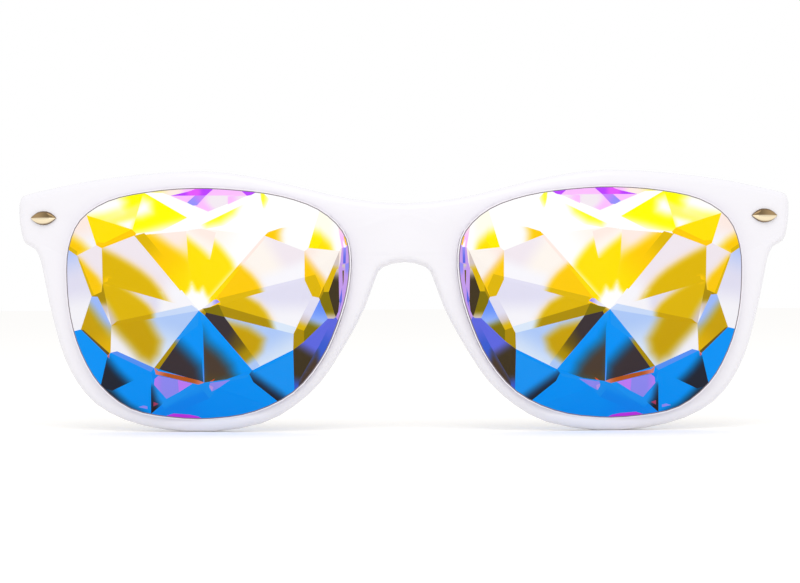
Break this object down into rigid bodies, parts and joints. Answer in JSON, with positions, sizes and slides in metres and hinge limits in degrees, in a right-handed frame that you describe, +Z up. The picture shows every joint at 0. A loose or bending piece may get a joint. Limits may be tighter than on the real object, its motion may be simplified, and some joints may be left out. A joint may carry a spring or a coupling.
{
  "type": "kaleidoscope glasses",
  "caption": "White plastic glasses with thick faceted crystal lenses that split the view, riveted hinges and folding arms.",
  "frame": {"origin": "on the surface that the glasses stand on, under the middle of their box", "axes": "+Z up; -Y the way the wearer looks, so the lenses face -Y and the arm tips are at +Y; +X the wearer's left"},
  "size_m": [0.145, 0.154, 0.0485],
  "materials": {
    "white_plastic": "glossy injection-moulded white plastic",
    "crystal": "cut and polished crystal with a thin colour-shifting film, gold to blue and violet",
    "hinge_steel": "stamped nickel-plated steel",
    "polished_rivet": "polished warm silver metal"
  },
  "bodies": {
    "front": {"front_frame": "white_plastic", "left_lens": "crystal", "right_lens": "crystal", "left_front_hinge_leaf": "hinge_steel", "right_front_hinge_leaf": "hinge_steel", "left_hinge_screw": "hinge_steel", "right_hinge_screw": "hinge_steel", "left_front_rivet": "polished_rivet", "right_front_rivet": "polished_rivet"},
    "left_temple": {"left_temple_arm": "white_plastic", "left_temple_hinge_leaf": "hinge_steel", "left_temple_rivet_fore": "polished_rivet", "left_temple_rivet_aft": "polished_rivet"},
    "right_temple": {"right_temple_arm": "white_plastic", "right_temple_hinge_leaf": "hinge_steel", "right_temple_rivet_fore": "polished_rivet", "right_temple_rivet_aft": "polished_rivet"}
  },
  "joints": [
    {"name": "left_temple_fold", "type": "hinge", "parent": "front", "child": "left_temple", "pos_m": [0.06555, -0.05759, 0.04001], "axis": [0, 0, 1], "range_deg": [0, 90]},
    {"name": "right_temple_fold", "type": "hinge", "parent": "front", "child": "right_temple", "pos_m": [-0.06555, -0.05759, 0.04001], "axis": [0, 0, -1], "range_deg": [0, 85]}
  ]
}
